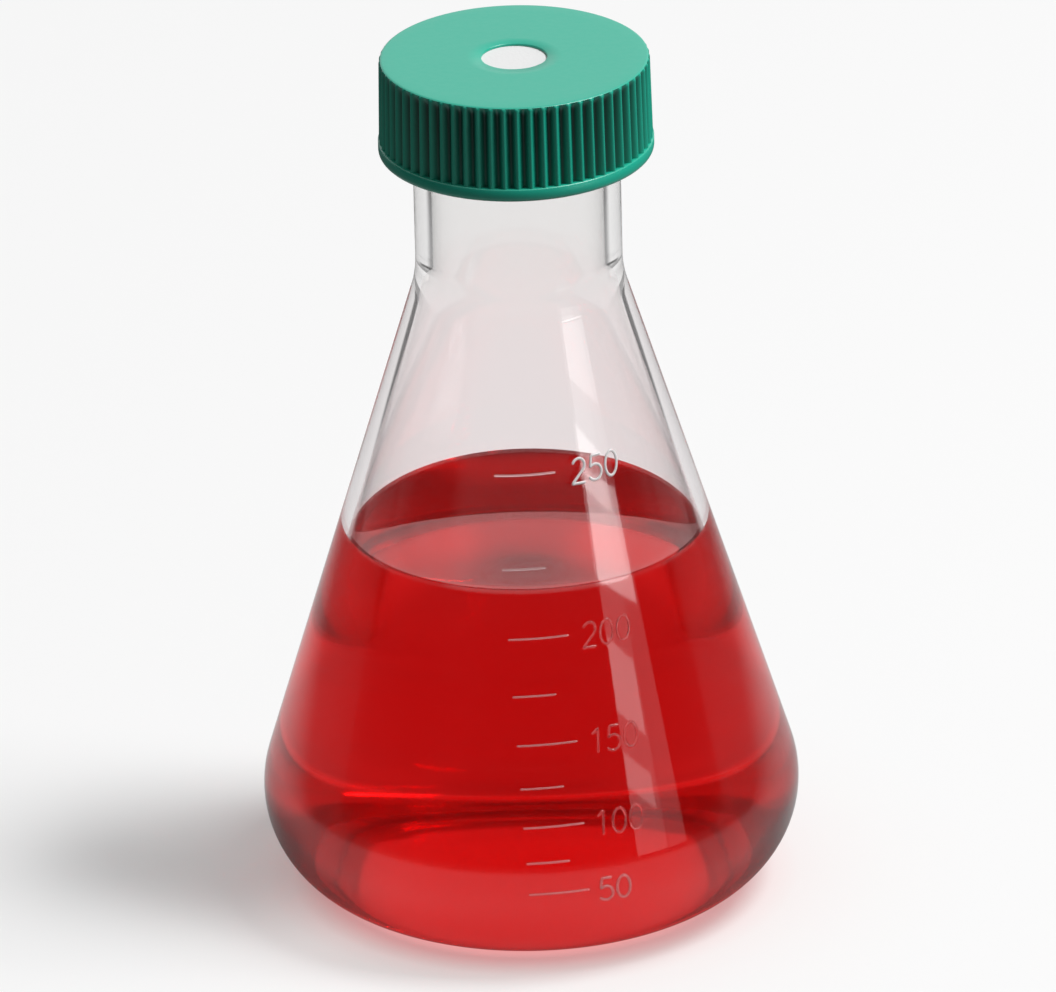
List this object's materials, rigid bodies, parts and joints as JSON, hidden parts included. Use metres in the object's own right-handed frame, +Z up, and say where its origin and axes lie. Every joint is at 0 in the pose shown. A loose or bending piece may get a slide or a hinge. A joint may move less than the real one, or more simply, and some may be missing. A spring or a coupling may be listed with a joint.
{
  "type": "conical culture flask with vented screw cap",
  "caption": "Clear conical flask with a moulded volume scale, part filled with red liquid and closed by a ribbed screw cap with a filter membrane in its vent.",
  "frame": {"origin": "middle of the base on the surface that the flask stands on", "axes": "+Z up along the flask's axis, -Y towards the moulded scale"},
  "size_m": [0.084, 0.0842, 0.1392],
  "materials": {
    "clear_plastic": "clear, polished, colourless",
    "red_liquid": "clear deep red liquid",
    "green_cap": "satin moulded green",
    "white_membrane": "matte white filter sheet",
    "white_plastic": "satin white",
    "liner_rubber": "matte pale grey"
  },
  "bodies": {
    "flask": {"flask_body": "clear_plastic", "liquid_fill": "red_liquid"},
    "seal": {"seal_liner": "liner_rubber"},
    "cap": {"cap_shell": "green_cap", "vent_membrane": "white_membrane", "membrane_retainer": "white_plastic"}
  },
  "joints": [
    {"name": "cap_rise", "type": "slide", "parent": "flask", "child": "seal", "axis": [0, 0, 1], "range_m": [0, 0.0127]},
    {"name": "cap_turn", "type": "hinge", "parent": "seal", "child": "cap", "pos_m": [0, 0, 0.13], "axis": [0, 0, 1], "range_deg": [0, 1080]}
  ],
  "couplings": [
    {"joint": "cap_rise", "follows": "cap_turn", "m_per_rad": 0.00067323}
  ]
}
